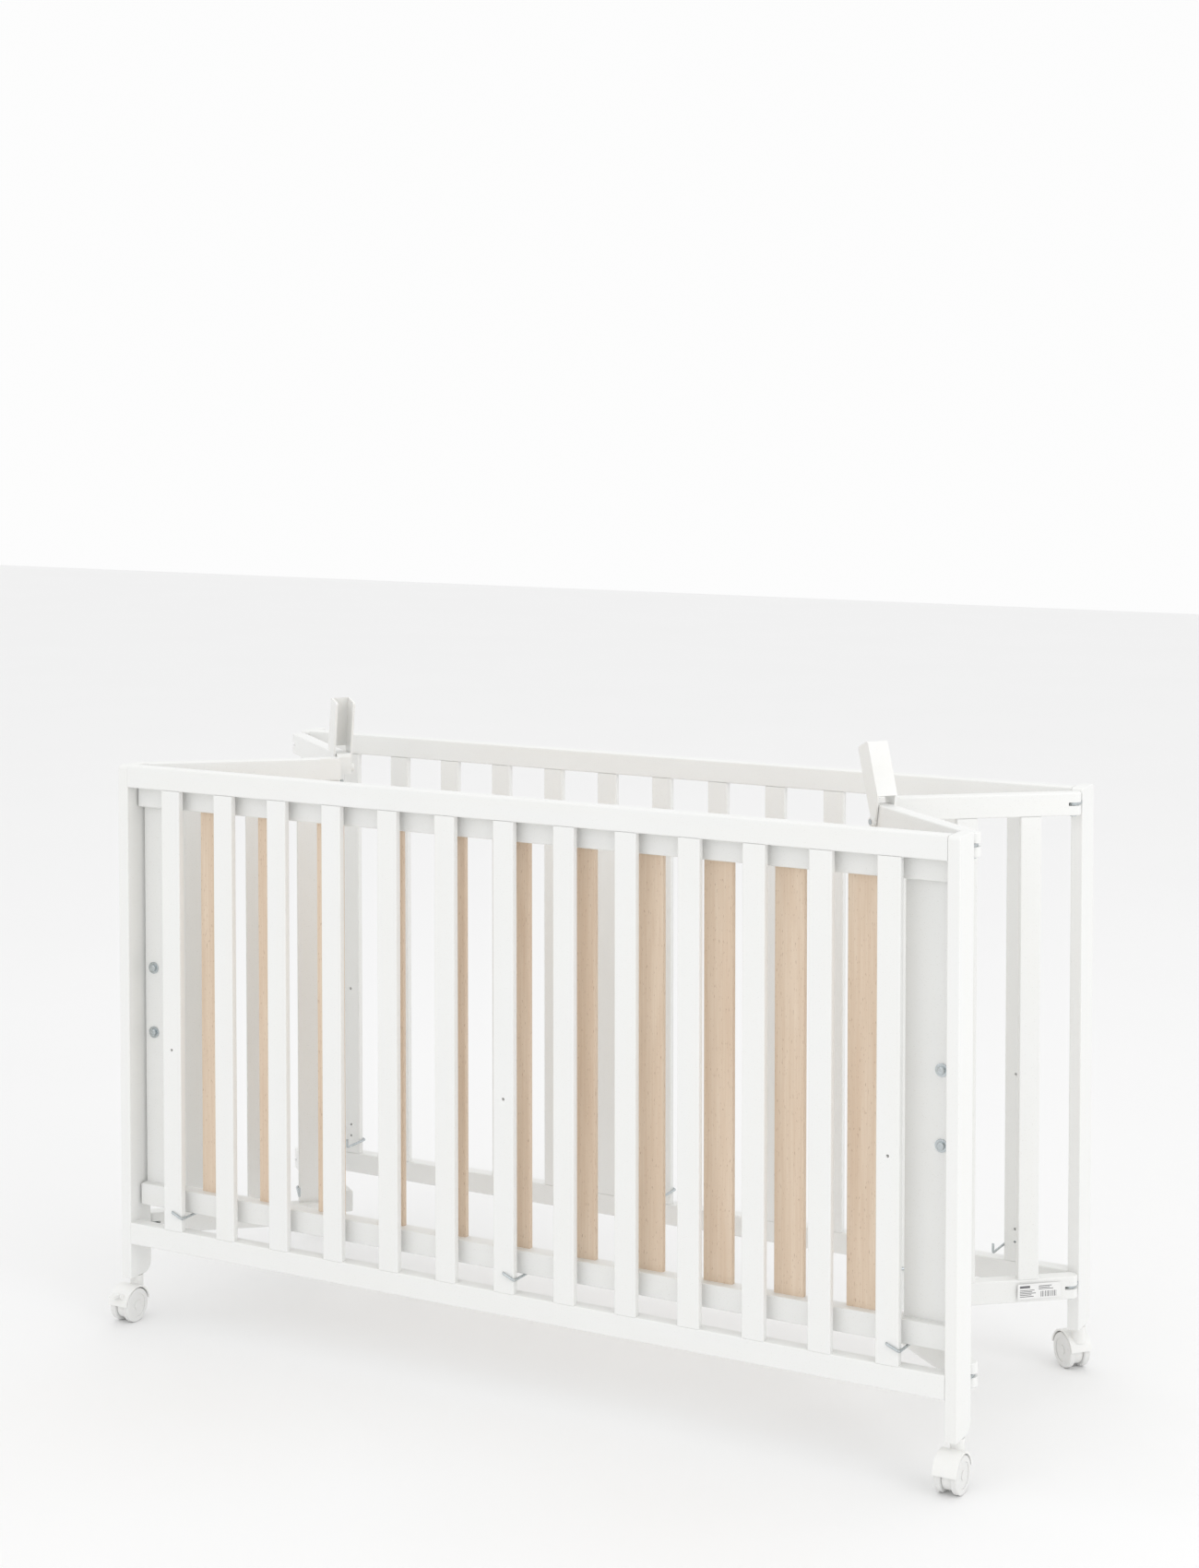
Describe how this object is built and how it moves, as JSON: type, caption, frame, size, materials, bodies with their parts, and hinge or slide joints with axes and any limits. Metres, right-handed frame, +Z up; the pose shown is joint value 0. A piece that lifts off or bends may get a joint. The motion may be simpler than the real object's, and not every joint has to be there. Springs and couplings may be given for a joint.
{
  "type": "playpen",
  "caption": "Folding wooden playpen with slatted sides, V-folding ends, a slatted base stored upright, latches and twin-wheel casters.",
  "frame": {"origin": "centre of the overall box in plan, on the floor under the casters", "axes": "+X along the long sides to the right, +Y from the front side, which holds the stored base, to the back side, +Z up"},
  "size_m": [1.2524, 0.5308, 0.8504],
  "materials": {
    "lacquer": "white satin lacquer on solid wood",
    "base_lacquer": "white satin lacquer on the base's rails and end boards",
    "beech": "clear matt lacquer on beech",
    "white_plastic": "moulded, fine satin texture",
    "wheel_plastic": "moulded, satin",
    "zinc": "bright zinc plating"
  },
  "bodies": {
    "front_side": {"front_left_post": "lacquer", "front_right_post": "lacquer", "front_top_rail": "lacquer", "front_bottom_rail": "lacquer", "front_slats": "lacquer", "front_hooks": "zinc", "front_hinge_tongues": "zinc", "front_hinge_pins": "zinc"},
    "back_side": {"back_left_post": "lacquer", "back_right_post": "lacquer", "back_top_rail": "lacquer", "back_bottom_rail": "lacquer", "back_slats": "lacquer", "back_hooks": "zinc", "back_hinge_tongues": "zinc", "back_hinge_pins": "zinc"},
    "left_front_half": {"left_front_top_rail": "lacquer", "left_front_bottom_rail": "lacquer", "left_front_slats": "lacquer", "left_front_bracket": "white_plastic", "left_front_leaves": "zinc", "left_middle_pins": "zinc", "left_end_hook": "zinc"},
    "left_back_half": {"left_back_top_rail": "lacquer", "left_back_bottom_rail": "lacquer", "left_back_slats": "lacquer", "left_back_bracket": "white_plastic", "left_back_leaves": "zinc", "left_latch_pin": "zinc"},
    "right_front_half": {"right_front_top_rail": "lacquer", "right_front_bottom_rail": "lacquer", "right_front_slats": "lacquer", "right_front_bracket": "white_plastic", "right_front_leaves": "zinc", "right_middle_pins": "zinc", "right_latch_pin": "zinc"},
    "right_back_half": {"right_back_top_rail": "lacquer", "right_back_bottom_rail": "lacquer", "right_back_slats": "lacquer", "right_back_bracket": "white_plastic", "right_back_leaves": "zinc", "right_end_hook": "zinc"},
    "left_latch": {"left_latch_cap": "white_plastic"},
    "right_latch": {"right_latch_cap": "white_plastic"},
    "base": {"base_lower_rail": "base_lacquer", "base_upper_rail": "base_lacquer", "base_end_boards": "base_lacquer", "base_slats": "beech", "base_bolts": "zinc", "base_washers": "zinc"},
    "brake": {"front_left_brake_tab": "white_plastic"},
    "front_left_caster": {"front_left_caster_hood": "white_plastic"},
    "front_left_wheels": {"front_left_caster_wheels": "wheel_plastic"},
    "front_right_caster": {"front_right_caster_hood": "white_plastic"},
    "front_right_wheels": {"front_right_caster_wheels": "wheel_plastic"},
    "back_left_caster": {"back_left_caster_hood": "white_plastic"},
    "back_left_wheels": {"back_left_caster_wheels": "wheel_plastic"},
    "back_right_caster": {"back_right_caster_hood": "white_plastic"},
    "back_right_wheels": {"back_right_caster_wheels": "wheel_plastic"}
  },
  "joints": [
    {"name": "end_fold", "type": "hinge", "parent": "front_side", "child": "left_front_half", "pos_m": [-0.609, -0.17153, 0.4], "axis": [0, 0, -1], "range_deg": [-50.5, 33.5]},
    {"name": "left_middle", "type": "hinge", "parent": "left_front_half", "child": "left_back_half", "pos_m": [-0.40984, 0.0082, 0.4], "axis": [0, 0, -1], "range_deg": [-67, 101]},
    {"name": "left_back_post", "type": "hinge", "parent": "left_back_half", "child": "back_side", "pos_m": [-0.609, 0.18793, 0.4], "axis": [0, 0, -1], "range_deg": [-50.5, 33.5]},
    {"name": "right_front_post", "type": "hinge", "parent": "front_side", "child": "right_front_half", "pos_m": [0.609, -0.17153, 0.4], "axis": [0, 0, -1], "range_deg": [-33.5, 50.5]},
    {"name": "right_middle", "type": "hinge", "parent": "right_front_half", "child": "right_back_half", "pos_m": [0.40984, 0.0082, 0.4], "axis": [0, 0, -1], "range_deg": [-101, 67]},
    {"name": "left_latch_turn", "type": "hinge", "parent": "left_back_half", "child": "left_latch", "pos_m": [-0.43307, 0.0429, 0.75], "axis": [-0.6361, -0.7716, 0], "range_deg": [-79, 16]},
    {"name": "right_latch_turn", "type": "hinge", "parent": "right_front_half", "child": "right_latch", "pos_m": [0.43307, -0.0265, 0.75], "axis": [0.6361, 0.7716, 0], "range_deg": [-67, 28]},
    {"name": "front_left_swivel", "type": "hinge", "parent": "front_side", "child": "front_left_caster", "pos_m": [-0.609, -0.20903, 0.06], "axis": [0, 0, 1], "continuous": true},
    {"name": "front_left_roll", "type": "hinge", "parent": "front_left_caster", "child": "front_left_wheels", "pos_m": [-0.609, -0.22603, 0.023], "axis": [1, 0, 0], "continuous": true},
    {"name": "front_right_swivel", "type": "hinge", "parent": "front_side", "child": "front_right_caster", "pos_m": [0.609, -0.20903, 0.06], "axis": [0, 0, 1], "continuous": true},
    {"name": "front_right_roll", "type": "hinge", "parent": "front_right_caster", "child": "front_right_wheels", "pos_m": [0.609, -0.22603, 0.023], "axis": [1, 0, 0], "continuous": true},
    {"name": "back_left_swivel", "type": "hinge", "parent": "back_side", "child": "back_left_caster", "pos_m": [-0.609, 0.22543, 0.06], "axis": [0, 0, 1], "continuous": true},
    {"name": "back_left_roll", "type": "hinge", "parent": "back_left_caster", "child": "back_left_wheels", "pos_m": [-0.59617, 0.23658, 0.023], "axis": [-0.6561, 0.7547, 0], "continuous": true},
    {"name": "back_right_swivel", "type": "hinge", "parent": "back_side", "child": "back_right_caster", "pos_m": [0.609, 0.22543, 0.06], "axis": [0, 0, 1], "continuous": true},
    {"name": "back_right_roll", "type": "hinge", "parent": "back_right_caster", "child": "back_right_wheels", "pos_m": [0.59617, 0.23658, 0.023], "axis": [-0.6561, -0.7547, 0], "continuous": true},
    {"name": "brake_press", "type": "hinge", "parent": "front_left_caster", "child": "brake", "pos_m": [-0.609, -0.25142, 0.04078], "axis": [1, 0, 0], "range_deg": [0, 18]},
    {"name": "base_lift", "type": "slide", "parent": "front_side", "child": "base", "axis": [0, 0, 1], "range_m": [0, 0.19]}
  ],
  "couplings": [
    {"joint": "left_middle", "follows": "end_fold", "ratio": -2},
    {"joint": "left_back_post", "follows": "end_fold", "ratio": 1},
    {"joint": "right_front_post", "follows": "end_fold", "ratio": -1},
    {"joint": "right_middle", "follows": "end_fold", "ratio": 2}
  ]
}
